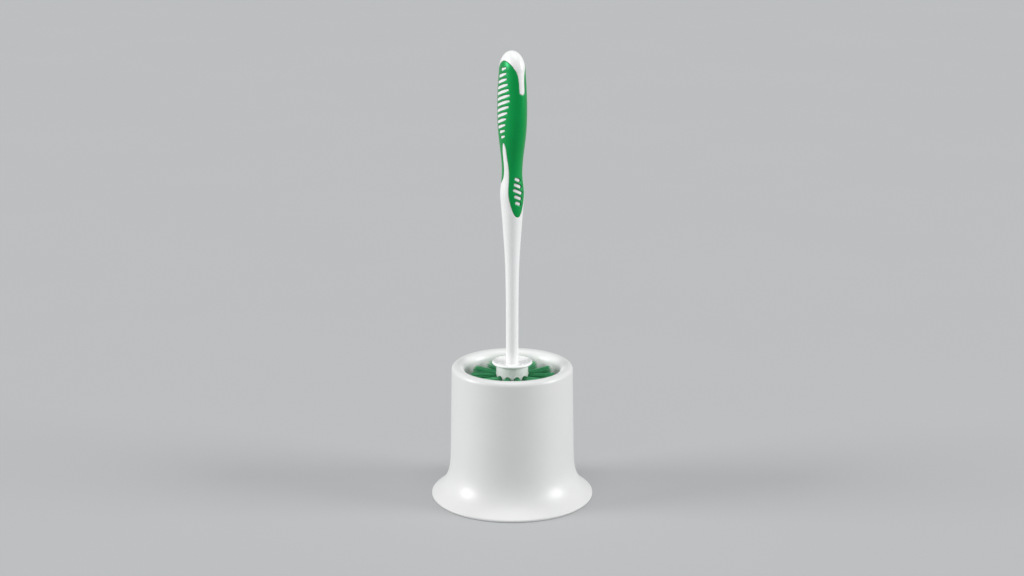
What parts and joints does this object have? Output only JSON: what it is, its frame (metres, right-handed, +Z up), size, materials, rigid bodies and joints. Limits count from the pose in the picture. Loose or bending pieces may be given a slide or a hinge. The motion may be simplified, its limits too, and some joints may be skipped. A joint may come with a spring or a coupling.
{
  "type": "toilet brush and caddy",
  "caption": "Toilet bowl brush with a white handle, green soft grip and green bristle tufts, standing in a white flared caddy that it lifts out of.",
  "frame": {"origin": "centre of the caddy's foot ring, on the surface it stands on", "axes": "+Z up along the handle; the thumb side of the grip faces -Y"},
  "size_m": [0.1405, 0.1406, 0.388],
  "materials": {
    "white_plastic_caddy": "satin white moulded polypropylene",
    "white_plastic_brush": "glossy white moulded polypropylene",
    "green_rubber": "soft green thermoplastic rubber, satin",
    "green_bristle": "green nylon filaments, crimped",
    "anchor_wire": "flat galvanised wire"
  },
  "bodies": {
    "caddy": {"caddy": "white_plastic_caddy"},
    "brush": {"handle_core": "white_plastic_brush", "soft_grip": "green_rubber", "brush_head": "white_plastic_brush", "tufts_row_01": "green_bristle", "tufts_row_02": "green_bristle", "tufts_row_03": "green_bristle", "tufts_row_04": "green_bristle", "tufts_row_05": "green_bristle", "tufts_row_06": "green_bristle", "tufts_row_07": "green_bristle", "tufts_row_08": "green_bristle", "tufts_row_09": "green_bristle", "tufts_row_10": "green_bristle", "tufts_row_11": "green_bristle", "anchors_row_01": "anchor_wire", "anchors_row_02": "anchor_wire", "anchors_row_03": "anchor_wire", "anchors_row_04": "anchor_wire", "anchors_row_05": "anchor_wire", "anchors_row_06": "anchor_wire", "anchors_row_07": "anchor_wire", "anchors_row_08": "anchor_wire", "anchors_row_09": "anchor_wire", "anchors_row_10": "anchor_wire", "anchors_row_11": "anchor_wire"}
  },
  "joints": [
    {"name": "brush_lift", "type": "slide", "parent": "caddy", "child": "brush", "axis": [0, 0, 1], "range_m": [0, 0.125]}
  ]
}
